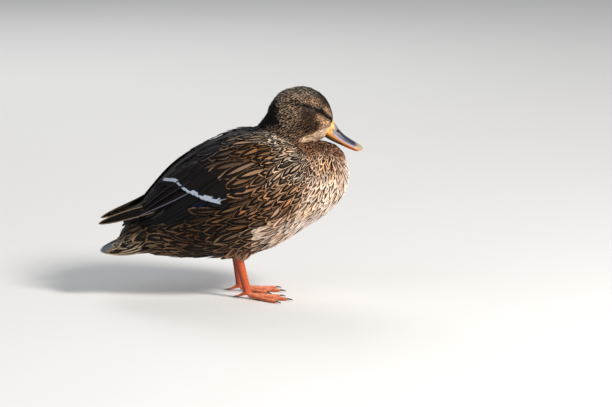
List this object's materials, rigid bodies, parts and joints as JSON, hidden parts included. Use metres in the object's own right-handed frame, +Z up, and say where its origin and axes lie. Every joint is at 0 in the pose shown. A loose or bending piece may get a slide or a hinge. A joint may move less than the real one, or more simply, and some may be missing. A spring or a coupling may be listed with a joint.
{
  "type": "hen mallard duck, standing, life-size model",
  "caption": "Still life-size model of a brown hen mallard standing at rest with her neck drawn in, wings folded and eyes nearly shut.",
  "frame": {"origin": "on the floor under the middle of the bird's bounding box", "axes": "+X forwards from tail to bill, +Y to her left, +Z up; the soles lie at z = 0"},
  "size_m": [0.311, 0.1352, 0.2493],
  "materials": {
    "plumage": "matt overlapping feathers, buff with dark brown centres",
    "head_plumage": "short silky feathers, finely streaked buff and dark brown",
    "wing_plumage": "smooth firm feathers with a faint sheen, blackish brown with a white bar",
    "tail_plumage": "smooth firm feathers, brown edged with pale buff",
    "bill_horn": "smooth leathery horn, orange yellow with a dark grey saddle",
    "eye": "wet and glossy",
    "leg_skin": "satin scaly skin",
    "claw_horn": "smooth horn"
  },
  "bodies": {
    "root": {"trunk": "plumage", "neck": "plumage", "shank_r": "plumage", "shank_l": "plumage", "head": "head_plumage", "wing_r": "wing_plumage", "wing_l": "wing_plumage", "wingtip_r": "wing_plumage", "wingtip_l": "wing_plumage", "tail": "tail_plumage", "bill_upper": "bill_horn", "bill_lower": "bill_horn", "eye_r": "eye", "eye_l": "eye", "foot_r": "leg_skin", "foot_l": "leg_skin", "tarsus_r": "leg_skin", "tarsus_l": "leg_skin", "claw_inner_r": "claw_horn", "claw_middle_r": "claw_horn", "claw_outer_r": "claw_horn", "claw_hind_r": "claw_horn", "claw_inner_l": "claw_horn", "claw_middle_l": "claw_horn", "claw_outer_l": "claw_horn", "claw_hind_l": "claw_horn"}
  },
  "joints": []
}
